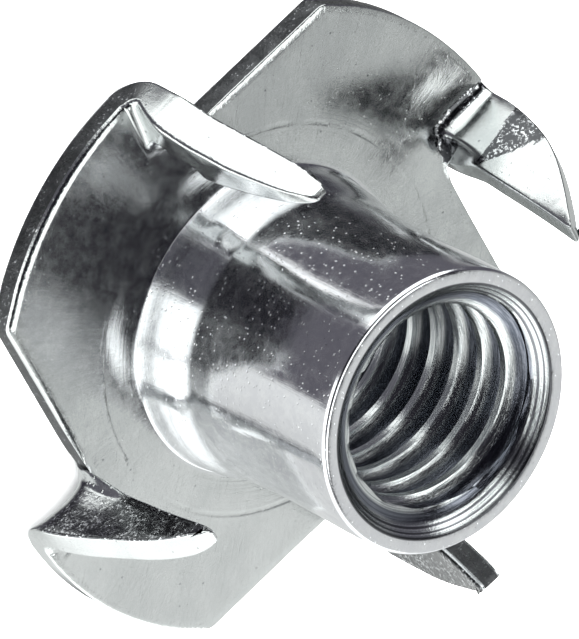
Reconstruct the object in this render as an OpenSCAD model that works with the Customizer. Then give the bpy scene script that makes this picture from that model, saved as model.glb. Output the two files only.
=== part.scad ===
// Tee nut, M8: one sheet steel stamping, zinc plated.
// The blank is a round disc with four straight cuts.  The barrel is drawn up
// from its middle and tapped, and the sheet beside each cut is folded up as
// a prong.  The flange back lies on z = 0 and the barrel axis is +Z.

/* [Flange] */
// Diameter of the round blank and so of the flange
flange_diameter = 22; // [20:0.5:24]
// Thickness of the sheet in the flange and the prongs
sheet_thickness = 0.9; // [0.7:0.05:1.1]
// Number of lobes, each with one prong
lobe_count = 4; // [3:1:4]
// Radius of the circle the straight cuts run tangent to
root_radius = 8.2; // [7.8:0.1:8.6]
// Roll of the front edge left by the blanking die
edge_roll = 0.2; // [0.1:0.05:0.3]
// Depth of the small flat on the free corner of each lobe
corner_depth = 0.06; // [0.04:0.01:0.1]

/* [Prongs] */
// Inner radius of the fold
fold_radius = 0.6; // [0.4:0.1:0.8]
// Distance from the start of the fold to the radial line through the cut
fold_lead = 1.4; // [1.2:0.1:1.6]
// Angle the prong is folded through
fold_angle = 81; // [78:1:90]
// Reach of the blunt tip along the cut, measured in the flat blank
prong_reach = 6.75; // [5.5:0.25:7]
// Width of the web left standing at the end of the cut
web_width = 0.7; // [0.4:0.1:1]

/* [Barrel] */
// Height of the barrel mouth over the flange back
barrel_height = 10.5; // [9:0.5:12]
// Outer diameter of the barrel
barrel_diameter = 10; // [9.8:0.1:10.4]
// Diameter of the flared foot where it meets the flange face
foot_diameter = 10.8; // [10.6:0.1:11.4]
// Height of the flared foot over the flange face
foot_height = 2.5; // [1.5:0.25:3.5]
// Radius on the outer edge of the mouth
mouth_round = 0.15; // [0.1:0.05:0.3]

/* [Thread] */
// Diameter of the tapped hole over the thread crests
crest_diameter = 6.9; // [6.65:0.05:7]
// Diameter of the countersink at the mouth
countersink_diameter = 9; // [8.4:0.1:9.2]
// Radius of the drawn entry at the flange back
entry_radius = 1.1; // [0.7:0.1:1.3]

/* [Hidden] */
$fn = 96;
blank_r = flange_diameter / 2;
barrel_r = barrel_diameter / 2;
foot_r = foot_diameter / 2;
crest_r = crest_diameter / 2;
sink_r = countersink_diameter / 2;
lobe_step = 360 / lobe_count;
lobe_width = blank_r - root_radius;
// From a lobe's free corner to the point where its cut touches the root circle
cut_turn = acos(root_radius / blank_r);
// From a lobe's free corner back to the radial line of its own fold
fold_turn = lobe_step - cut_turn;
fold_outer = fold_radius + sheet_thickness;
// Flat length of sheet the fold takes up on its neutral line
fold_length = fold_angle * PI / 180 * (fold_radius + 0.4 * sheet_thickness);
blade_start = fold_length - fold_lead;
// Radius of the concave flare of the foot, tangent to the barrel
flare_r = (foot_height * foot_height + pow(foot_r - barrel_r, 2)) / (2 * (foot_r - barrel_r));
// Each fold laps this many degrees into the sheet at either end of it
fold_lap = 6;
// Sheet lost from each face where it is folded
fold_thinning = 0.01;
// The web runs into the prong this high, in a concave curve
web_top = 2.6;
web_curve = 2.3;
web_inset = 0.2;
// How far it reaches past the radial line, at the cut and at its outer end
web_foot = 0.95;
web_end = 0.15;
// Length of a cutter that runs right past the part
past = 40;

// A flat disc of the sheet with its front edge rolled over
module rolled_disc(r) {
    rotate_extrude()
        difference() {
            square([r, sheet_thickness]);
            difference() {
                translate([r - edge_roll, sheet_thickness - edge_roll])
                    square([2 * edge_roll, 2 * edge_roll]);
                translate([r - edge_roll, sheet_thickness - edge_roll])
                    circle(r = edge_roll);
            }
        }
}

// Local frame of a fold: x runs out along its radial line from the root
// circle and y points back over the lobe.  The next lobe's cut is x = 0
module at_fold(lobe) {
    rotate([0, 0, -fold_turn - lobe * lobe_step])
        translate([root_radius, 0, 0])
            children();
}

// Stands a (y, z) section up and draws it out along x
module along_x(length) {
    rotate([90, 0, 90])
        linear_extrude(height = length)
            children();
}

// Sheet that is folded away, from the start of the fold to the next cut
module window() {
    translate([0, fold_lead - past, -1])
        cube([past, past, sheet_thickness + 2]);
}

// Sliver the die rolls off the front of a straight cut
module cut_waste() {
    translate([0, -web_foot, 0])
        rotate([90, 0, 0])
            linear_extrude(height = past)
                difference() {
                    translate([-edge_roll, sheet_thickness - edge_roll])
                        square([2 * edge_roll, 2 * edge_roll]);
                    translate([-edge_roll, sheet_thickness - edge_roll])
                        circle(r = edge_roll);
                }
}

// Tip of a lobe beyond the small flat on its free corner
module corner_waste() {
    translate([blank_r, 0, -1])
        rotate([0, 0, cut_turn / 2])
            translate([-corner_depth, -0.5, 0])
                cube([1, 1, sheet_thickness + 2]);
}

// The pinwheel, with the hole the barrel is drawn from
module flange() {
    difference() {
        rolled_disc(blank_r);
        for (lobe = [0 : lobe_count - 1])
            at_fold(lobe)
                window();
        for (lobe = [0 : lobe_count - 1])
            at_fold(lobe)
                cut_waste();
        for (lobe = [0 : lobe_count - 1])
            rotate([0, 0, -lobe * lobe_step])
                corner_waste();
        translate([0, 0, -1])
            cylinder(h = sheet_thickness + 2, r = (crest_r + entry_radius + barrel_r) / 2);
    }
}

// The folded strip, a sector of a ring that laps a little way into the flange
// and the blade.  Folding thins it, and its outer end keeps to the rim
module fold() {
    intersection() {
        along_x(lobe_width)
            translate([fold_lead, fold_outer])
                intersection() {
                    difference() {
                        circle(r = fold_outer - fold_thinning);
                        circle(r = fold_radius + fold_thinning);
                    }
                    polygon([
                        [0, 0],
                        2 * fold_outer * [sin(fold_lap), -cos(fold_lap)],
                        [-2 * fold_outer, -2 * fold_outer],
                        2 * fold_outer * [-sin(fold_angle + fold_lap), -cos(fold_angle + fold_lap)]
                    ]);
                }
        translate([-root_radius, 0, -1])
            cylinder(h = past, r = blank_r - fold_thinning);
    }
}

// The prong's blade: the part of the blank beyond the fold, laid over.
// Its outer edge is still the blank's rim and its inner edge the straight cut
module blade() {
    translate([0, fold_lead, fold_outer])
        rotate([-fold_angle, 0, 0])
            translate([0, blade_start, -fold_outer])
                intersection() {
                    translate([-root_radius, 0, 0])
                        rolled_disc(blank_r);
                    translate([0, -prong_reach, -1])
                        cube([past, prong_reach - blade_start, sheet_thickness + 2]);
                }
}

// Sheet drawn up with the prong round the end of the cut.  It sweeps from the
// flange face up to the prong's outer side and dies out along the fold
module web() {
    mid_r = fold_radius + sheet_thickness / 2;
    web_start = fold_lead - sheet_thickness / 2;
    intersection() {
        along_x(web_width)
            difference() {
                polygon([
                    [web_start, 0],
                    [-web_foot, 0],
                    [-web_foot, sheet_thickness],
                    [-web_inset, web_top],
                    [0, web_top],
                    [fold_lead - mid_r * sin(45), fold_outer - mid_r * cos(45)],
                    [web_start, fold_radius]
                ]);
                translate([-web_inset - web_curve, web_top])
                    circle(r = web_curve);
            }
        translate([0, 0, -1])
            linear_extrude(height = web_top + 2)
                polygon([
                    [0, fold_lead],
                    [0, -web_foot],
                    [web_width, -web_end],
                    [web_width, fold_lead]
                ]);
    }
}

// Half section of the barrel with its tapped hole
module barrel_section() {
    difference() {
        union() {
            square([barrel_r, barrel_height]);
            difference() {
                square([foot_r, sheet_thickness + foot_height]);
                translate([barrel_r + flare_r, sheet_thickness + foot_height])
                    circle(r = flare_r, $fn = 360);
            }
        }
        difference() {
            translate([barrel_r - mouth_round, barrel_height - mouth_round])
                square([2 * mouth_round, 2 * mouth_round]);
            translate([barrel_r - mouth_round, barrel_height - mouth_round])
                circle(r = mouth_round);
        }
        translate([-1, -1])
            square([crest_r + 1, barrel_height + 2]);
        polygon([
            [0, barrel_height - (sink_r - crest_r)],
            [crest_r, barrel_height - (sink_r - crest_r)],
            [sink_r, barrel_height],
            [sink_r, barrel_height + 1],
            [0, barrel_height + 1]
        ]);
        difference() {
            translate([0, -1])
                square([crest_r + entry_radius, 1 + entry_radius]);
            translate([crest_r + entry_radius, entry_radius])
                circle(r = entry_radius);
        }
    }
}

module tee_nut() {
    color([0.78, 0.80, 0.82])
        union() {
            flange();
            rotate_extrude()
                barrel_section();
            for (lobe = [0 : lobe_count - 1])
                at_fold(lobe) {
                    fold();
                    blade();
                    web();
                }
        }
}

tee_nut();
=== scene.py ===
# Tee nut, M8: a one-piece sheet steel stamping, bright zinc plated.
import math
import bmesh
import bpy
from mathutils import Matrix, Vector


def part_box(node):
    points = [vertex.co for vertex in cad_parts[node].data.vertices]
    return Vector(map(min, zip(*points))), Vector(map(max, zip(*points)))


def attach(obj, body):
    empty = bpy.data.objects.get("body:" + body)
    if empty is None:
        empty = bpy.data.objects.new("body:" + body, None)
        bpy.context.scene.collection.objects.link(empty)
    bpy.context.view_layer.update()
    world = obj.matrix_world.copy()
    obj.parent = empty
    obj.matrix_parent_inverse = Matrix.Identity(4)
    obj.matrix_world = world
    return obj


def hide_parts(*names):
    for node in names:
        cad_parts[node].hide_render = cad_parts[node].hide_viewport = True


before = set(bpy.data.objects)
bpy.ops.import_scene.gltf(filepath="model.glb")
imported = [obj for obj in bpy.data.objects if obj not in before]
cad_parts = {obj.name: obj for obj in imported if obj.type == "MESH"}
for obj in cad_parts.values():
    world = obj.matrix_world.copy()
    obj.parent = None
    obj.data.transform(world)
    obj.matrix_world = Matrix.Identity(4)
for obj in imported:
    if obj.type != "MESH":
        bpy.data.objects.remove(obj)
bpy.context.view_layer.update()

# ---------------------------------------------------------------------------
# Blank.  The nut starts as a round disc of 0.9 mm sheet steel.  Four straight
# slits are sheared into its rim, each along a line that just touches an inner
# circle.  It is modelled in millimetres, with the first fold line along +X.
# ---------------------------------------------------------------------------
blank_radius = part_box("tee_nut")[1].x * 1000 - 0.02
sheet = 0.9
neck_radius = 5.6
collar_radius = 6.0
root_radius = 8.2
steps = 256
lobes = 4
quarter = math.radians(360 / lobes)
slit_end = 0.75
slit_width = 0.07
prong_reach = 6.6
front_roll = 0.34
slit_front_roll = 0.34
prong_roll = 0.12
slit_roll = 0.1
slit_back_roll = 0.2
back_break = 0.05
corner_round = 0.22
clear_angle = 0.35


def ease(value, low, high):
    """A smooth step from 0 at low to 1 at high."""
    part = min(max((value - low) / (high - low), 0), 1)
    return part * part * (3 - 2 * part)


def between(first, second, share):
    """A value part of the way from one to another."""
    return first + (second - first) * share


def pick(kind, test):
    """Selects exactly the vertices, edges or faces that pass the test."""
    shape = bmesh.from_edit_mesh(bpy.context.object.data)
    bpy.ops.mesh.select_mode(type=kind)
    bpy.ops.mesh.select_all(action="DESELECT")
    for item in {"VERT": shape.verts, "EDGE": shape.edges, "FACE": shape.faces}[kind]:
        if test(item):
            item.select_set(True)
    shape.select_flush_mode()
    bmesh.update_edit_mesh(bpy.context.object.data)


def seen_from_fold(place, lobe):
    """Millimetres out from the root circle, and back over the lobe, from its fold."""
    x, y = place.x, place.y
    for _ in range(lobe):
        x, y = -y, x
    return x - root_radius, y


def on_strip(out, back, limit):
    """Whether a point lies on a prong's strip of the rim, up to a limit past its fold line."""
    return out > slit_width / 2 and -prong_reach - 0.1 < back < limit


def on_rim(out, back):
    """Whether a point lies on the blank's outer arc."""
    return math.hypot(root_radius + out, back) > blank_radius - 0.05


bpy.ops.object.select_all(action="DESELECT")
bpy.ops.mesh.primitive_circle_add(vertices=steps, radius=neck_radius)
blank = bpy.context.object
bpy.ops.object.mode_set(mode="EDIT")
bpy.ops.mesh.select_all(action="SELECT")
for inner, outer in ((neck_radius, collar_radius), (collar_radius, blank_radius)):
    bpy.ops.mesh.extrude_region_move()
    bpy.ops.transform.resize(value=(outer / inner, outer / inner, 1), center_override=(0, 0, 0))
bpy.ops.mesh.select_all(action="SELECT")
bpy.ops.mesh.extrude_region_move(TRANSFORM_OT_translate={"value": (0, 0, sheet)})
bpy.ops.mesh.select_all(action="SELECT")
bpy.ops.mesh.normals_make_consistent(inside=False)
bpy.ops.object.mode_set(mode="OBJECT")


def punch(cutter):
    """Turns three copies of a cutter round the blank and takes them all out of it."""
    bpy.ops.object.transform_apply(location=True, rotation=True, scale=True)
    bpy.ops.object.mode_set(mode="EDIT")
    bpy.ops.mesh.select_all(action="SELECT")
    for _ in range(lobes - 1):
        bpy.ops.mesh.duplicate()
        bpy.ops.transform.rotate(value=quarter, orient_axis="Z", center_override=(0, 0, 0))
    bpy.ops.object.mode_set(mode="OBJECT")
    bpy.ops.object.select_all(action="DESELECT")
    bpy.context.view_layer.objects.active = blank
    blank.select_set(True)
    cut = blank.modifiers.new("cut", "BOOLEAN")
    cut.operation = "DIFFERENCE"
    cut.solver = "EXACT"
    cut.object = cutter
    bpy.ops.object.modifier_apply(modifier=cut.name)
    bpy.data.objects.remove(cutter)


# A round at each slit's inner end, then the slit, then the cropped prong tip
bpy.ops.mesh.primitive_cylinder_add(
    vertices=20, radius=slit_width / 2, depth=4,
    location=(root_radius + slit_width / 2, -slit_end, 0))
punch(bpy.context.object)
bpy.ops.mesh.primitive_cube_add(
    size=1, location=(root_radius + slit_width / 2, -slit_end - 5, 0), scale=(slit_width, 10, 4))
punch(bpy.context.object)
bpy.ops.mesh.primitive_cube_add(
    size=1, location=(root_radius + 2 + slit_width / 2, -prong_reach - 4, 0), scale=(4, 8, 4))
punch(bpy.context.object)

# The wall at the neck goes, since the barrel joins the sheet there
bpy.ops.object.mode_set(mode="EDIT")
pick("FACE", lambda face: abs(face.normal.z) < 0.5
     and math.hypot(*face.calc_center_median().xy) < neck_radius + 0.1)
bpy.ops.mesh.delete(type="ONLY_FACE")
bpy.ops.mesh.select_all(action="SELECT")
bpy.ops.mesh.delete_loose(use_verts=False, use_edges=True, use_faces=False)


def at_tips(place):
    """Whether a point is round a slit's open end, with the prong tip and lobe corner."""
    seen = [seen_from_fold(place, lobe) for lobe in range(lobes)]
    return any(-0.9 < out < 1.3 and -8.2 < back < -5.7 for out, back in seen)


def is_corner(edge):
    """An upright edge where two walls meet at a clear angle."""
    upright = abs(edge.verts[0].co.z - edge.verts[1].co.z) > sheet * 0.9
    return upright and len(edge.link_faces) == 2 and edge.calc_face_angle(0) > clear_angle


def by_slit_end(place):
    """Whether a point lies on a spoke that passes close to a slit's inner end."""
    for lobe in range(lobes):
        out, back = seen_from_fold(place, lobe)
        if abs(math.atan2(back, root_radius + out) * root_radius + slit_end) < 0.5:
            return True
    return False


def spare_edge(edge):
    """A facet or spoke line that would get in the way of rounding the edges."""
    if len(edge.link_faces) != 2 or is_corner(edge) or edge.calc_face_angle(0) > clear_angle:
        return False
    spread = sorted(v.co.xy.length for v in edge.verts)
    if spread[0] < collar_radius - 0.01 or spread[1] < collar_radius + 0.01:
        return False
    if any(at_tips(v.co) for v in edge.verts):
        return True
    flat = all(abs(f.normal.z) > 0.9 for f in edge.link_faces)
    return flat and all(by_slit_end(v.co) for v in edge.verts)


pick("EDGE", spare_edge)
bpy.ops.mesh.dissolve_edges(use_verts=True)
pick("EDGE", lambda edge: is_corner(edge) and at_tips(edge.verts[0].co))
bpy.ops.mesh.bevel(offset=corner_round, segments=5, profile=0.5, affect="EDGES", clamp_overlap=False)


def edge_roll(edge):
    """How far shearing and coining round an outline edge, in millimetres."""
    heights = [v.co.z for v in edge.verts]
    if abs(heights[0] - heights[1]) > 0.001 or len(edge.link_faces) != 2:
        return 0
    if (abs(edge.link_faces[0].normal.z) > 0.9) == (abs(edge.link_faces[1].normal.z) > 0.9):
        return 0
    front = heights[0] > sheet / 2
    middle = (edge.verts[0].co + edge.verts[1].co) / 2
    for lobe in range(lobes):
        out, back = seen_from_fold(middle, lobe)
        if on_strip(out, back, 1.5):
            if on_rim(out, back):
                taper = 0.55 + 0.45 * ease(back, -6.2, -4)
                folded = ease(-back, -1.5, 0.5)
                return between(front_roll if front else back_break, prong_roll, folded) * taper
            return slit_roll if front else between(slit_roll, slit_back_roll, ease(-back, 1.2, 2.8))
        if -0.03 < out <= slit_width / 2 and -prong_reach - 0.1 < back < 0:
            past = -back - slit_end
            if front:
                return between(slit_roll, slit_front_roll, ease(past, 0.3, 2.3))
            return between(slit_roll, back_break, ease(past, 0.3, 1.3))
    return front_roll if front else back_break


# Shearing rolls the front edge and leaves the back one nearly sharp, except
# that both edges of a prong's rim are coined round
bpy.ops.mesh.select_all(action="DESELECT")
shape = bmesh.from_edit_mesh(blank.data)
weights = shape.edges.layers.float
shares = weights.get("bevel_weight_edge") or weights.new("bevel_weight_edge")
for edge in shape.edges:
    edge[shares] = edge_roll(edge) / front_roll
bmesh.update_edit_mesh(blank.data)
bpy.ops.object.mode_set(mode="OBJECT")
rounding = blank.modifiers.new("rounding", "BEVEL")
rounding.limit_method = "WEIGHT"
rounding.width = front_roll
rounding.segments = 6
rounding.use_clamp_overlap = False
bpy.ops.object.modifier_apply(modifier=rounding.name)
bpy.ops.object.mode_set(mode="EDIT")


def in_quarter(face):
    """Whether a face lies in the quarter from plain flange to plain flange round one fold."""
    middle = face.calc_center_median()
    return -42 < math.atan2(middle.y, middle.x) * steps / math.tau < 22


# Only that quarter is kept, and it is cut by lines that let it bend: coarse
# everywhere, close together at the fold
pick("FACE", lambda face: not in_quarter(face))
bpy.ops.mesh.delete(type="FACE")


def slice_quarter(across, place, inside):
    """Bisects the faces inside an area, along or across the fold line."""
    pick("FACE", lambda face: inside(*seen_from_fold(face.calc_center_median(), 0)))
    bpy.ops.mesh.bisect(
        plane_co=(root_radius, place, 0) if across else (root_radius + place, 0, 0),
        plane_no=(0, 1, 0) if across else (1, 0, 0), threshold=0.0002)


def beyond_collar(out, back):
    """The flat sheet outside the foot of the barrel."""
    return math.hypot(root_radius + out, back) > collar_radius


for i in range(-11, 12):
    slice_quarter(True, i + 0.5, beyond_collar)
    slice_quarter(False, i + 0.5 - root_radius, beyond_collar)
for across, first, spacing, count, inside in (
        (True, -0.2, 0.08, 29, lambda out, back: -0.9 < out and -0.3 < back < 2.2),
        (True, -4, 0.14, 28, lambda out, back: -0.9 < out and -4.2 < back < -0.1),
        (True, -6.5, 0.25, 10, lambda out, back: 0 < out and -7.2 < back < -4),
        (False, -0.6, 0.085, 20, lambda out, back: -0.7 < out < 1.2 and -4.2 < back < 2.2)):
    for i in range(count):
        slice_quarter(across, first + spacing * i, inside)

bpy.ops.mesh.select_all(action="SELECT")
for _ in range(lobes - 1):
    bpy.ops.mesh.duplicate()
    bpy.ops.transform.rotate(value=quarter, orient_axis="Z", center_override=(0, 0, 0))
bpy.ops.mesh.select_all(action="SELECT")
bpy.ops.mesh.remove_doubles(threshold=0.00005)

# The surfaces are marked while the blank is flat.  Sheared walls keep a torn
# grain when plated: dark on the flange, smoother where the rim was coined.
torn_slits = [0.35, 1.0, 0.5, 0.5]
shape = bmesh.from_edit_mesh(blank.data)
cut_face = shape.faces.layers.float.new("cut_face")
rolled_face = shape.faces.layers.float.new("rolled_face")
back_face = shape.faces.layers.float.new("back_face")
crease_shade_and_wedge = shape.verts.layers.float.new("crease_shade_and_wedge")
highlight_facet = shape.verts.layers.float.new("highlight_facet")


def crease_shade(out, back):
    """Painted shade: the dark line in the sharp inside of the first fold, and its web."""
    line = math.exp(-((back - 0.82) / 0.42) ** 2) * ease(out, 0.1, 0.4)
    web_line = math.exp(-((out - 0.22) / 0.2) ** 2)
    web_line = web_line * ease(back, -0.8, -0.6) * ease(-back, -0.7, -0.4)
    return max(line, web_line)


def blade_wedge(out, back):
    """A darker wedge across the first prong, widening towards its rim."""
    upper, lower = -1.9 + 0.2 * out, -1.9 - 0.6 * out
    return ease(-back, -upper - 0.12, -upper + 0.12) * ease(back, lower - 0.12, lower + 0.12)


for face in shape.faces:
    middle = face.calc_center_median()
    wall = 1.0 if abs(face.normal.z) < 0.05 else 0.0
    for lobe in range(lobes):
        out, back = seen_from_fold(middle, lobe)
        if on_strip(out, back, 3.5):
            if on_rim(out, back):
                wall *= ease(back, -0.9, 0.1) if lobe == 3 else ease(back, 1.5, 3.5)
            else:
                wall *= torn_slits[lobe]
            if face.normal.z < -0.5 and back < 0.2:
                face[back_face] = 1.0
    face[cut_face] = wall
    face[rolled_face] = 1.0 if 0.05 <= face.normal.z < 0.99 else 0.0
for vertex in shape.verts:
    out, back = seen_from_fold(vertex.co, 0)
    if vertex.co.z > sheet * 0.7 and out > -0.3 and -prong_reach < back < 2:
        vertex[crease_shade_and_wedge] = max(crease_shade(out, back), blade_wedge(out, back) if out > 0.1 else 0)
    # Painted highlight: a facet on the third prong's back is kept out of the back's painted shade, so it
    # shows bright
    out, back = seen_from_fold(vertex.co, 2)
    if vertex.co.z < sheet * 0.3 and 0 < out < 1.6 and -3 < back < 0:
        vertex[highlight_facet] = (ease(back + 2.2 - 0.43 * out, 0, 0.1) * ease(-back, 0.2, 0.8)
                             * ease(-out, -1.2, -0.95))
bmesh.update_edit_mesh(blank.data)
bpy.ops.object.mode_set(mode="OBJECT")

# ---------------------------------------------------------------------------
# Folds.  The strip of rim outside each slit is bent up to stand as a prong.
# The press leaves each prong a little different.  Beside the slit's end the
# sheet is drawn out into a small web between the flange and the prong.
# ---------------------------------------------------------------------------
swell_width = 1.4
tip_length = 1.1
folds = [
    {"start": 0.98, "skew": -0.05, "inner": 0.45, "belly": 0.25, "angle": 87, "lean": 0.030,
     "draw": 1.0, "web": 0.0, "swell": 0.19, "squeeze": 0.2, "upset": 0.05,
     "tip": 0.1, "trim": 0.45, "trim_from": 3.0, "trim_to": 6.5},
    {"start": 1.05, "skew": 0.08, "inner": 0.5, "belly": 0.2, "angle": 88, "lean": 0.027,
     "draw": 1.17, "web": 0.0, "swell": 0.1, "squeeze": 0.15, "upset": 0.10,
     "tip": 0.1, "trim": 0.32, "trim_from": 2.5, "trim_to": 6.0},
    {"start": 0.82, "skew": -0.02, "inner": 0.5, "belly": 0.5, "angle": 88, "lean": 0.031,
     "draw": 1.10, "web": 0.0, "swell": 0.03, "squeeze": 0.1, "upset": 0.12,
     "tip": 0.88, "trim": 0.5, "trim_from": -0.5, "trim_to": 3.5},
    {"start": 0.96, "skew": 0.13, "inner": 0.38, "belly": 0.0, "angle": 88, "lean": 0.037,
     "draw": 1.07, "web": 0.25, "swell": 0.03, "squeeze": 0.5, "upset": 0.6,
     "tip": 0.85, "trim": 0.3, "trim_from": 1.5, "trim_to": 3.0},
]


def fold_amount(out, back, slit_side, web):
    """How far a point follows the fold: 0 on the flange, 1 on the prong."""
    across = ease(out, web - 0.15, web + 0.5)
    if back > -slit_end:
        return across
    past = -slit_end - back
    if slit_side > 0:
        return 1 - (1 - across) * (1 - ease(past, -0.4, 1.5))
    return across * (1 - ease(past, 0, 0.6))


def flange_share(place):
    """1 on the flange, falling to 0 on the prongs, in the flat blank."""
    share = 1
    for lobe in range(lobes):
        out, back = seen_from_fold(place, lobe)
        if on_strip(out, back, 1.5):
            share = min(share, ease(back, -0.5, 1.5))
    return share


for vertex in blank.data.vertices:
    for lobe, fold in enumerate(folds):
        out, back = seen_from_fold(vertex.co, lobe)
        # The bend is rounder in the middle of the strip than at its edges
        belly = fold["belly"] * max(1 - ((out - 1.35) / 1.35) ** 2, 0)
        start = fold["start"] - fold["skew"] * max(out, 0) + belly
        # The front roll is shallow on the flange and full on the prongs
        rolled_by = sheet - vertex.co.z
        if lobe == 0 and 0 < rolled_by < front_roll + 0.001:
            drop = 0.22 + 0.33 * ease(-vertex.co.x, 0, 1) * ease(vertex.co.y, 0, 1)
            vertex.co.z += rolled_by * (1 - drop) * flange_share(vertex.co)
        depth = vertex.co.z
        beside = (back - start) / swell_width
        if abs(beside) < 3 and out > -2.6:
            vertex.co.z += fold["swell"] * math.exp(-beside * beside) * ease(out, -2.4, 0.6)
        if back > start or out < -0.2 or back < -prong_reach - 0.5:
            continue
        amount = fold_amount(out, back, 1 if out > slit_width / 2 else -1, fold["web"])
        if amount == 0:
            continue
        angle = math.radians(fold["angle"])
        inner_bend = fold["inner"] + belly
        outer_bend = inner_bend + sheet
        neutral = inner_bend + 0.4 * sheet
        along = start - back
        turn = min(along / neutral, angle)
        excess = max(along - neutral * angle, 0) * fold["draw"]
        # Coining leaves the rim side of a prong thicker than its sheared side
        rim_out = math.sqrt(max(blank_radius ** 2 - back ** 2, root_radius ** 2 + 1)) - root_radius
        across = min(max(out / rim_out, 0), 1)
        upset = fold["upset"] * across * ease(excess, -0.6, 1.6) * (1 - 0.7 * ease(excess, 3.8, 7))
        middle = sheet * 0.45
        tip = max(-back - prong_reach + tip_length, 0) / tip_length
        thin = math.sqrt(1 - fold["tip"] * min(tip, 1) ** 2)
        depth = middle + (depth * (1 + upset / sheet) - middle) * thin
        radius = outer_bend - depth
        # The pull narrows the strip: beside the web first, then towards the tip
        pulled = fold["squeeze"] * (1 - across) * math.exp(-(excess / 1.6) ** 2) * ease(turn, 0, angle)
        narrowed = pulled - fold["trim"] * across * ease(-back, fold["trim_from"], fold["trim_to"])
        bent_back = (start - radius * math.sin(turn) - excess * math.cos(angle)
                     - fold["lean"] * excess ** 2 / 2)
        bent_up = outer_bend - radius * math.cos(turn) + excess * math.sin(angle)
        moved = Vector((
            root_radius + out + narrowed * amount,
            back + (bent_back - back) * amount,
            vertex.co.z + (bent_up - vertex.co.z) * amount,
        ))
        vertex.co = Matrix.Rotation(-lobe * quarter, 3, "Z") @ moved
        break

# ---------------------------------------------------------------------------
# Barrel.  It is drawn out of the same disc: a wide foot, a straight wall with
# a slight waist, and a mouth pressed flat with a lead-in for the screw.  Its
# back end has the large radius that the drawing punch leaves.
# ---------------------------------------------------------------------------
barrel_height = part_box("tee_nut")[1].z * 1000
barrel_radius = 5.0
foot_radius = 5.42
crest_radius = 3.45
groove_radius = 4.03
countersink = 4.42
entry_radius = 1.1
mouth_round = 0.15
foot_height = 1.9
wall_start = 3.4
corner = 0.04


def bore_limit(height):
    """The smooth bore that the thread is cut into: entry radius, wall and lead-in."""
    if height < entry_radius:
        level = entry_radius - max(height, 0)
        return crest_radius + entry_radius - math.sqrt(entry_radius ** 2 - level ** 2)
    lead_in = countersink - (barrel_height - 0.04 - height)
    if lead_in < 4:
        lead_in = 4 - (4 - lead_in) * 2.6
    return max(crest_radius - 0.4, lead_in)


thread_low = 0.12
thread_high = barrel_height - 0.4

bpy.ops.mesh.primitive_circle_add(vertices=steps, radius=neck_radius, location=(0, 0, sheet))
barrel = bpy.context.object
bpy.ops.object.transform_apply(location=True, rotation=True, scale=True)
bpy.ops.object.mode_set(mode="EDIT")
bpy.ops.mesh.select_mode(type="VERT")
bpy.ops.mesh.select_all(action="SELECT")
ring = [neck_radius, sheet]


def next_ring(radius, height):
    """Draws the open edge on to a new radius and height."""
    bpy.ops.mesh.extrude_region_move(
        TRANSFORM_OT_translate={"value": (0, 0, height - ring[1])})
    change = radius / ring[0]
    bpy.ops.transform.resize(value=(change, change, 1), center_override=(0, 0, height))
    ring[0], ring[1] = radius, height


def next_arc(centre, radius, first, last, count):
    """Draws the open edge round an arc; angles are degrees up from outwards."""
    for i in range(count + 1):
        turn = math.radians(first + (last - first) * i / count)
        next_ring(centre[0] + radius * math.cos(turn), centre[1] + radius * math.sin(turn))


next_arc((foot_radius + corner, sheet + corner), corner, -90, -180, 3)
for height in (1.3, 1.6, foot_height):
    next_ring(foot_radius - 0.11 * (height - 0.94), height)
foot_end = foot_radius - 0.106
for i in range(1, 17):
    height = foot_height + 1.5 * i / 16
    next_ring(foot_end - (foot_end - barrel_radius - 0.03) * ease(height, 1.7, wall_start), height)
for i in range(1, 16):
    height = wall_start + (barrel_height - mouth_round - wall_start) * i / 15
    waist = ease(height, wall_start, 6.4) * (1 - ease(height, 6.4, 9.5))
    next_ring(barrel_radius + 0.03 * (1 - ease(height, wall_start, 5)) - 0.04 * waist, height)
next_arc((barrel_radius - mouth_round, barrel_height - mouth_round), mouth_round, 0, 90, 6)
next_ring(countersink + 0.05, barrel_height)
next_arc((countersink + 0.05, barrel_height - 0.06), 0.06, 90, 135, 3)
for height in (barrel_height - 0.2, barrel_height - 0.3, thread_high):
    next_ring(bore_limit(height), height)

# The back: the entry radius out to the neck, from the thread's lower end
bpy.ops.mesh.primitive_circle_add(
    vertices=steps, radius=bore_limit(thread_low), location=(0, 0, 0))
ring = [bore_limit(thread_low), thread_low]
bpy.ops.transform.translate(value=(0, 0, thread_low))
for height in (0.09, 0.06, 0.035, 0.015, 0.004):
    next_ring(bore_limit(height), height)
next_ring(crest_radius + entry_radius + 0.05, 0)
next_ring(neck_radius, 0)
bpy.ops.mesh.select_all(action="SELECT")
bpy.ops.mesh.remove_doubles(threshold=0.0001)
bpy.ops.object.mode_set(mode="OBJECT")

# ---------------------------------------------------------------------------
# Thread.  M8, right hand, 1.25 mm pitch, tapped after the barrel is drawn.
# One turn's profile is swept up the bore, then held back to the smooth bore
# at both ends, where the groove runs out into the entry and the lead-in.
# ---------------------------------------------------------------------------
pitch = 1.25
crest_flat = 0.3
groove_flat = 0.14
crest_on_back_wall = 0.32
back_wall = math.radians(246)
rim_radius = 11
turns_swept = 11
bpy.ops.mesh.primitive_plane_add(size=1)
thread = bpy.context.object
bpy.ops.object.mode_set(mode="EDIT")
bpy.ops.mesh.select_mode(type="VERT")
bpy.ops.mesh.select_all(action="SELECT")
bpy.ops.mesh.merge(type="CENTER")
rows = 18
shape = bmesh.from_edit_mesh(thread.data)
shape.verts.ensure_lookup_table()


def thread_radius(part):
    """Bore radius over one pitch, from crest middle (0) to groove (0.5) and back."""
    half = abs((part + 0.5) % 1 - 0.5) * pitch
    slope = ease(half, crest_flat / 2, pitch / 2 - groove_flat / 2)
    flank = pitch / 2 - groove_flat / 2 - crest_flat / 2
    straight = min(max((half - crest_flat / 2) / flank, 0), 1)
    return crest_radius + (groove_radius - crest_radius) * (0.55 * straight + 0.45 * slope)


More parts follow.
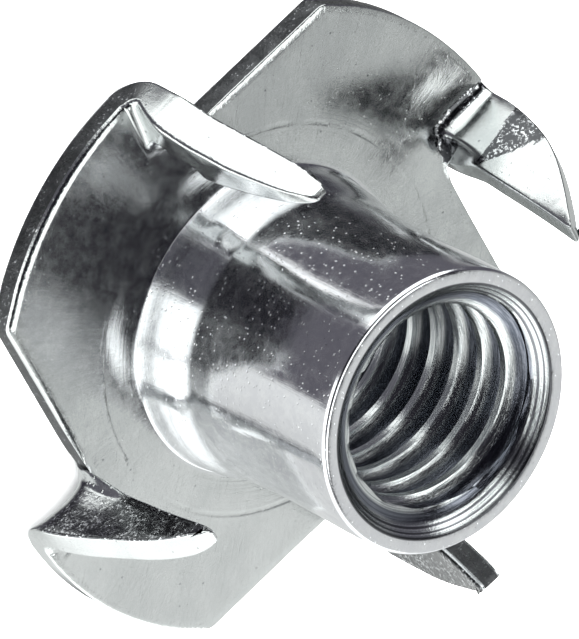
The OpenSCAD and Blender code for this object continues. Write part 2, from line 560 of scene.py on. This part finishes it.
shape.verts[0].co = (thread_radius(0), 0, 0)
bmesh.update_edit_mesh(thread.data)
for i in range(rows):
    step = thread_radius((i + 1) / rows) - thread_radius(i / rows)
    bpy.ops.mesh.extrude_region_move(TRANSFORM_OT_translate={"value": (step, 0, pitch / rows)})
bpy.ops.object.mode_set(mode="OBJECT")
sweep = thread.modifiers.new("sweep", "SCREW")
sweep.axis = "Z"
sweep.screw_offset = pitch
sweep.steps = steps
sweep.render_steps = steps
sweep.iterations = turns_swept
sweep.use_merge_vertices = False
bpy.ops.object.modifier_apply(modifier=sweep.name)
first_fold = math.acos(root_radius / rim_radius) - quarter
settle = crest_on_back_wall - pitch * ((back_wall - first_fold) / math.tau) - 2 * pitch
bpy.ops.object.mode_set(mode="EDIT")
bpy.ops.mesh.select_all(action="SELECT")
bpy.ops.mesh.remove_doubles(threshold=0.0005)
bpy.ops.transform.translate(value=(0, 0, settle))
bpy.ops.object.mode_set(mode="OBJECT")
for vertex in thread.data.vertices:
    height = min(max(vertex.co.z, thread_low), thread_high)
    radius = math.hypot(*vertex.co.xy)
    wanted = max(radius, bore_limit(height))
    if height in (thread_low, thread_high):
        wanted = bore_limit(height)
    vertex.co = (vertex.co.x * wanted / radius, vertex.co.y * wanted / radius, height)

# ---------------------------------------------------------------------------
# The three parts of the one stamping are joined edge to edge
# ---------------------------------------------------------------------------
for part in (blank, barrel, thread):
    part.select_set(True)
bpy.context.view_layer.objects.active = blank
bpy.ops.object.join()
nut = bpy.context.object
nut.name = "tee_nut_body"
nut.data.name = "tee_nut_body"
bpy.ops.object.mode_set(mode="EDIT")
bpy.ops.mesh.select_all(action="SELECT")
bpy.ops.mesh.remove_doubles(threshold=0.00005)
bpy.ops.mesh.normals_make_consistent(inside=False)
bpy.ops.transform.rotate(value=-first_fold, orient_axis="Z", center_override=(0, 0, 0))
bpy.ops.transform.resize(value=(0.001, 0.001, 0.001), center_override=(0, 0, 0))
bpy.ops.object.mode_set(mode="OBJECT")
bpy.ops.object.shade_smooth_by_angle(angle=math.radians(38))
even = nut.modifiers.new("even_shading", "WEIGHTED_NORMAL")
even.keep_sharp = True
even.weight = 50
bpy.ops.object.modifier_apply(modifier=even.name)

# ---------------------------------------------------------------------------
# Finish: bright zinc over steel.  The flange keeps the rolled sheet's satin grain, the
# drawn barrel is burnished by the die, and the sheared faces are coarse.
# ---------------------------------------------------------------------------
zinc = bpy.data.materials.new("bright_zinc")
zinc.use_nodes = True
nodes = zinc.node_tree.nodes
links = zinc.node_tree.links
shader = nodes["Principled BSDF"]
shader.inputs["Metallic"].default_value = 1.0


def node(kind, **settings):
    """Adds a node and sets its properties."""
    made = nodes.new(kind)
    for name, value in settings.items():
        setattr(made, name, value)
    return made


def math_node(operation, first, second=None):
    """A maths node fed by sockets or plain numbers."""
    made = node("ShaderNodeMath", operation=operation)
    for socket, value in zip(made.inputs, (first, second)):
        if value is None:
            continue
        if isinstance(value, (int, float)):
            socket.default_value = value
        else:
            links.new(value, socket)
    return made.outputs[0]


def steps_node(value, low, high, to_low=0.0, to_high=1.0):
    """A smooth step of a value between two limits."""
    made = node("ShaderNodeMapRange", interpolation_type="SMOOTHSTEP")
    links.new(value, made.inputs["Value"])
    for name, number in (("From Min", low), ("From Max", high), ("To Min", to_low), ("To Max", to_high)):
        made.inputs[name].default_value = number
    return made.outputs["Result"]


def noise_node(vector, scale, detail=2.0, roughness=0.5):
    """Noise on a vector in millimetres."""
    made = node("ShaderNodeTexNoise")
    links.new(vector, made.inputs["Vector"])
    made.inputs["Scale"].default_value = scale
    made.inputs["Detail"].default_value = detail
    made.inputs["Roughness"].default_value = roughness
    return made.outputs["Fac"]


def vector_node(x, y, z):
    """A vector from three sockets or plain numbers."""
    made = node("ShaderNodeCombineXYZ")
    for socket, value in zip(made.inputs, (x, y, z)):
        if isinstance(value, (int, float)):
            socket.default_value = value
        else:
            links.new(value, socket)
    return made.outputs[0]


def mix_node(amount, first, second):
    """Blends two colours, or two numbers given as sockets or plain values."""
    made = node("ShaderNodeMix", data_type="RGBA")
    for index, value in ((0, amount), (6, first), (7, second)):
        if isinstance(value, (int, float)):
            made.inputs[index].default_value = value if index == 0 else (value, value, value, 1)
        elif isinstance(value, tuple):
            made.inputs[index].default_value = (*value, 1)
        else:
            links.new(value, made.inputs[index])
    return made.outputs[2]


def times(first, second):
    """Two sockets or numbers multiplied."""
    return math_node("MULTIPLY", first, second)


def plus(first, second):
    """Two sockets or numbers added."""
    return math_node("ADD", first, second)


def specks_node(vector, scale, size, share):
    """Scattered round specks: cells of about 1/scale mm, a share of which hold one."""
    made = node("ShaderNodeTexVoronoi")
    links.new(vector, made.inputs["Vector"])
    made.inputs["Scale"].default_value = scale
    chance = node("ShaderNodeSeparateXYZ")
    links.new(made.outputs["Color"], chance.inputs[0])
    return times(steps_node(made.outputs["Distance"], size, size * 0.4),
                 steps_node(chance.outputs[0], 1 - share - 0.02, 1 - share + 0.02))


def marked(name):
    """How strongly a surface mark made on the flat blank shows."""
    return node("ShaderNodeAttribute", attribute_name=name).outputs["Fac"]


place = node("ShaderNodeTexCoord").outputs["Object"]
to_mm = node("ShaderNodeVectorMath", operation="SCALE")
links.new(place, to_mm.inputs[0])
to_mm.inputs["Scale"].default_value = 1000
mm = to_mm.outputs["Vector"]
axes = node("ShaderNodeSeparateXYZ")
links.new(mm, axes.inputs[0])
x, y, z = axes.outputs
radius = math_node("SQRT", plus(times(x, x), times(y, y)))
x_way, y_way = math_node("DIVIDE", x, radius), math_node("DIVIDE", y, radius)
cut = marked("cut_face")
rolled = marked("rolled_face")
prong_back = times(marked("back_face"), steps_node(z, 0.9, 1.4))
on_barrel = times(steps_node(radius, 5.62, 5.5), steps_node(z, 0.85, 0.95))
in_bore = steps_node(radius, 4.5, 4.4)
on_wall = times(on_barrel, math_node("SUBTRACT", 1.0, in_bore))
in_groove = times(steps_node(radius, 3.62, 3.78), times(in_bore, steps_node(z, 10.12, 10.02)))

# Grain that runs out from the middle on the flange and up the drawn barrel
radial = vector_node(times(x_way, 60.0), times(y_way, 60.0), times(radius, 0.5))
drawn = vector_node(times(x_way, 50.0), times(y_way, 50.0), times(z, 0.35))
brushed = noise_node(radial, 1.0, 3.0, 0.6)
drawn_lines = noise_node(drawn, 1.0, 3.0, 0.6)
mouth_lines = times(steps_node(z, 10.4, 10.44),
                    times(steps_node(radius, 4.36, 4.42), steps_node(radius, 4.52, 4.46)))
cone_lines = times(in_bore, plus(times(steps_node(z, 10.30, 10.33), steps_node(z, 10.38, 10.35)),
                                 times(steps_node(z, 10.14, 10.17), steps_node(z, 10.24, 10.20))))
rings = noise_node(vector_node(times(radius, 7.0), 0.0, 0.0), 1.0, 2.0)
mottle = noise_node(mm, 0.55, 4.0, 0.6)
blotch = noise_node(mm, 2.2, 3.0, 0.65)
grain = noise_node(mm, 9.0, 3.0, 0.6)
fine = noise_node(mm, 26.0, 2.0, 0.6)
dark_specks = specks_node(mm, 2.6, 0.16, 0.22)
pits = specks_node(mm, 5.5, 0.24, 0.4)
scuff_way = node("ShaderNodeMapping")
links.new(mm, scuff_way.inputs["Vector"])
scuff_way.inputs["Rotation"].default_value = (0.2, 0.3, 0.9)
scuff_way.inputs["Scale"].default_value = (0.5, 7.0, 2.0)
scuffs = steps_node(noise_node(scuff_way.outputs[0], 1.0, 2.0), 0.64, 0.7)

flat_colour = mix_node(steps_node(mottle, 0.35, 0.65), (0.70, 0.72, 0.72), (0.85, 0.87, 0.865))
flat_colour = mix_node(steps_node(fine, 0.42, 0.62, 0.0, 0.22), flat_colour, (0.38, 0.40, 0.40))
flat_colour = mix_node(times(dark_specks, 0.7), flat_colour, (0.18, 0.19, 0.20))
flat_colour = mix_node(times(steps_node(brushed, 0.55, 0.75), 0.18), flat_colour, (0.45, 0.48, 0.48))
# Painted light and shade: the flange is painted darker towards one side and brighter towards the other
toward_lit_side = plus(times(x_way, -0.996), times(y_way, -0.087))
flat_colour = mix_node(steps_node(toward_lit_side, -0.9, 0.9, 0.28, 0.0), flat_colour, (0.30, 0.31, 0.31))
flat_colour = mix_node(steps_node(toward_lit_side, 0.2, 0.9, 0.0, 0.45), flat_colour, (0.97, 0.98, 0.98))
wall_colour = mix_node(steps_node(blotch, 0.35, 0.7), (0.80, 0.80, 0.83), (0.88, 0.88, 0.90))
colour = mix_node(on_wall, flat_colour, wall_colour)
turns = vector_node(times(radius, 24.0), times(z, 24.0), times(x_way, 2.5))
chatter = noise_node(turns, 1.0, 3.0, 0.7)
crest_colour = mix_node(steps_node(chatter, 0.36, 0.6), (0.52, 0.55, 0.56), (0.90, 0.92, 0.92))
colour = mix_node(in_bore, colour, crest_colour)
# Painted shade: the thread's grooves are painted near black, standing in for the dark reflection in the
# roots
groove_shade = mix_node(steps_node(chatter, 0.4, 0.62), (0.05, 0.06, 0.09), (0.17, 0.18, 0.23))
colour = mix_node(times(in_groove, 0.88), colour, groove_shade)
colour = mix_node(times(cone_lines, 0.85), colour, (0.08, 0.08, 0.10))
colour = mix_node(times(mouth_lines, 0.9), colour, (0.04, 0.04, 0.05))
crease_shade_and_wedge = marked("crease_shade_and_wedge")
crease_shade_and_wedge = steps_node(plus(crease_shade_and_wedge, times(plus(grain, -0.5), 0.9)), 0.38, 0.5)
highlight_facet = marked("highlight_facet")
# A dark speckled colour, used for painted shade on the fold's crease and the prongs' backs, and for the
# darker wedge
dark_speckled = mix_node(times(steps_node(grain, 0.5, 0.6), steps_node(blotch, 0.38, 0.55)),
                (0.035, 0.036, 0.042), (0.75, 0.76, 0.78))
torn = mix_node(steps_node(blotch, 0.35, 0.65), (0.012, 0.012, 0.015), (0.05, 0.05, 0.055))
torn = mix_node(times(steps_node(grain, 0.6, 0.68), steps_node(blotch, 0.4, 0.6)),
                torn, (0.55, 0.56, 0.58))
colour = mix_node(times(cut, 0.9), colour, torn)
# Painted shade along the first fold's crease and its web, with the darker wedge across the first prong
colour = mix_node(times(crease_shade_and_wedge, 0.9), colour, dark_speckled)
# Painted shade: the prongs' backs are painted dark as a painted dark reflection, except on the third
# prong's bright facet
colour = mix_node(times(times(prong_back, 0.85), math_node("SUBTRACT", 1.0, highlight_facet)), colour, dark_speckled)
links.new(colour, shader.inputs["Base Color"])

rough = mix_node(on_wall, steps_node(blotch, 0.3, 0.7, 0.13, 0.2),
                 steps_node(blotch, 0.3, 0.7, 0.08, 0.16))
rough = mix_node(in_bore, rough, 0.16)
rough = mix_node(times(cut, 0.8), rough, 0.4)
rough = mix_node(times(rolled, 0.8), rough, 0.14)
links.new(rough, shader.inputs["Roughness"])

height = plus(times(brushed, 0.10), plus(times(fine, 0.07), times(grain, 0.06)))
height = plus(height, times(rings, times(0.25, steps_node(radius, 8.0, 6.0))))
height = plus(height, times(mottle, 0.2))
height = plus(height, times(scuffs, -0.03))
wall_height = plus(times(drawn_lines, 0.10), plus(times(pits, -0.35), times(mottle, 0.6)))
wall_height = plus(wall_height, times(fine, 0.03))
height = mix_node(on_wall, height, wall_height)
bore_height = plus(times(chatter, 0.3), plus(times(grain, 0.25), times(fine, 0.15)))
height = mix_node(in_bore, height, bore_height)
height = plus(height, times(cut, plus(times(grain, 1.6), times(fine, 0.5))))
height = plus(height, times(rolled, plus(times(grain, 0.4), times(blotch, 0.7))))
coarse = noise_node(mm, 5.0, 3.0, 0.6)
glints = specks_node(mm, 5.0, 0.34, 0.55)
height = plus(height, times(prong_back, plus(times(coarse, 0.5), times(glints, 2.2))))
zinc_grains = specks_node(mm, 7.0, 0.3, 0.16)
height = plus(height, times(zinc_grains, 0.12))
draw_mark = times(times(steps_node(radius, 6.75, 6.86), steps_node(radius, 7.02, 6.9)),
                  steps_node(mottle, 0.38, 0.55))
height = plus(height, times(draw_mark, times(-0.35, steps_node(z, 1.1, 1.0))))
bump = node("ShaderNodeBump")
bump.inputs["Distance"].default_value = 0.00002
bump.inputs["Strength"].default_value = 1.0
links.new(height, bump.inputs["Height"])
links.new(bump.outputs["Normal"], shader.inputs["Normal"])
nut.data.materials.clear()
nut.data.materials.append(zinc)
for face in nut.data.polygons:
    face.material_index = 0
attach(nut, "root")
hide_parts("tee_nut")

# ---------------------------------------------------------------------------
# Studio: a plain white floor under the nut.
# ---------------------------------------------------------------------------
bpy.ops.object.select_all(action="DESELECT")
bpy.ops.mesh.primitive_plane_add(size=4, location=(0, 0, -0.00002))
floor = bpy.context.object
floor.name = "studio_floor"
bpy.ops.object.transform_apply(location=True, rotation=True, scale=True)
paper = bpy.data.materials.new("white_paper")
paper.use_nodes = True
sheen = paper.node_tree.nodes["Principled BSDF"].inputs
sheen["Base Color"].default_value = (0.92, 0.92, 0.92, 1)
sheen["Roughness"].default_value = 0.9
sheen["Specular IOR Level"].default_value = 0.0
floor.data.materials.append(paper)
floor.visible_glossy = False

# The room, by direction: white cards and dark flags stand round the set, and
# they give the metal its light and dark reflections
world = bpy.data.worlds.new("studio")
bpy.context.scene.world = world
world.use_nodes = True
nodes = world.node_tree.nodes
links = world.node_tree.links
nodes.clear()
way = node("ShaderNodeTexCoord").outputs["Generated"]
axes = node("ShaderNodeSeparateXYZ")
links.new(way, axes.inputs[0])
azimuth = math_node("FRACT", math_node("ADD", math_node("DIVIDE", math_node(
    "ARCTAN2", axes.outputs[1], axes.outputs[0]), math.tau), 1.0))
elevation = math_node("MULTIPLY", math_node("ARCSINE", axes.outputs[2]), 180 / math.pi)


def tone(grey):
    """Dark flags lean to violet and pale paper to green, as the room does."""
    deep = max(0.0, 1 - grey * 4)
    return (grey * (0.97 + 0.05 * deep), grey * (1.0 - 0.05 * deep), grey * (0.99 + 0.3 * deep), 1)


def ramp(value, stops):
    """Brightness by azimuth: a list of (degrees, grey) that wraps round the set."""
    made = node("ShaderNodeValToRGB")
    links.new(value, made.inputs[0])
    marks = made.color_ramp.elements
    while len(marks) > 1:
        marks.remove(marks[0])
    stops = sorted((d % 360, g) for d, g in stops)
    wrap = (360 - stops[-1][0]) / (360 - stops[-1][0] + stops[0][0])
    ends = stops[-1][1] + (stops[0][1] - stops[-1][1]) * wrap
    stops = [(0, ends)] + stops + [(360, ends)]
    for i, (degrees, grey) in enumerate(stops):
        mark = marks[0] if i == 0 else marks.new(degrees / 360)
        mark.position = degrees / 360
        mark.color = tone(grey)
    return made.outputs[0]


dark, white, pale = 0.13, 2.2, 0.75
low_room = ramp(azimuth, [(-54, dark), (18, dark), (23, 1.5), (32, 1.5), (40, dark), (103, dark),
                          (108, 0.9), (146, 0.75), (148.5, 0.05), (152, 0.05), (155, pale),
                          (246, pale), (285, 0.5), (303, 0.1)])
middle_room = ramp(azimuth, [(-30, dark), (-24, white), (34, white), (44, dark), (78, dark),
                             (84, white), (116, white), (118, 0.2), (121, white), (152, white),
                             (158, 1.4), (215, 1.2), (246, pale), (285, 0.5), (303, 0.1)])
upper_room = ramp(azimuth, [(-30, dark), (-24, white), (34, white), (44, dark), (78, dark),
                            (84, white), (116, white), (118, 0.2), (121, white), (150, white),
                            (158, 1.9), (214, 1.9), (222, pale), (246, pale), (285, 0.5), (303, 0.1)])
high_room = ramp(azimuth, [(-54, 0.02), (16, 0.02), (22, 1.2), (32, 1.2), (38, 0.02), (118, 0.02),
                           (140, 0.6), (160, 0.65), (200, 0.74), (246, 0.74), (285, 0.5), (303, 0.1)])
over_room = ramp(azimuth, [(-20, 0.02), (140, 0.02), (165, white), (325, white)])
room = mix_node(steps_node(elevation, -41, -24), low_room, middle_room)
room = mix_node(steps_node(elevation, 4, 12), room, upper_room)
room = mix_node(steps_node(elevation, 32, 40), room, high_room)
room = mix_node(steps_node(elevation, 49, 52), room, tone(0.02)[:3])
room = mix_node(steps_node(elevation, 57, 59), room, over_room)
room = mix_node(steps_node(elevation, -66, -84), room, tone(0.04)[:3])
seen = node("ShaderNodeLightPath").outputs["Is Camera Ray"]
light = node("ShaderNodeBackground")
links.new(mix_node(seen, room, (0.95, 0.95, 0.95)), light.inputs[0])
out = node("ShaderNodeOutputWorld")
links.new(light.outputs[0], out.inputs[0])

bpy.ops.object.light_add(type="AREA", location=(0, 0, 0.6))
lamp = bpy.context.object
lamp.name = "overhead"
lamp.data.size = 1.2
lamp.data.energy = 40
lamp.visible_glossy = False

# ---------------------------------------------------------------------------
# Camera: a long lens, looking down at the mouth from one side.
# ---------------------------------------------------------------------------
camera_azimuth, camera_elevation = math.radians(66.6277), math.radians(46.5356)
camera_roll = math.radians(117.6131)
distance = 0.66
back = Vector((math.cos(camera_azimuth) * math.cos(camera_elevation),
               math.sin(camera_azimuth) * math.cos(camera_elevation), math.sin(camera_elevation)))
level_x = Vector((0, 0, 1)).cross(back).normalized()
level_y = back.cross(level_x)
right = level_x * math.cos(camera_roll) + level_y * math.sin(camera_roll)
up = back.cross(right)
bpy.ops.object.camera_add()
camera = bpy.context.object
camera.data.lens = 1117.83
camera.data.sensor_width = 36
camera.data.sensor_fit = "AUTO"
camera.data.clip_start = 0.01
camera.data.clip_end = 5
aim = right * 0.001295 - up * 0.000309
position = aim + back * math.sqrt(distance ** 2 - aim.length_squared)
camera.matrix_world = Matrix((
    (right.x, up.x, back.x, position.x),
    (right.y, up.y, back.y, position.y),
    (right.z, up.z, back.z, position.z),
    (0, 0, 0, 1)))
bpy.context.scene.camera = camera
bpy.context.scene.view_settings.view_transform = "Standard"
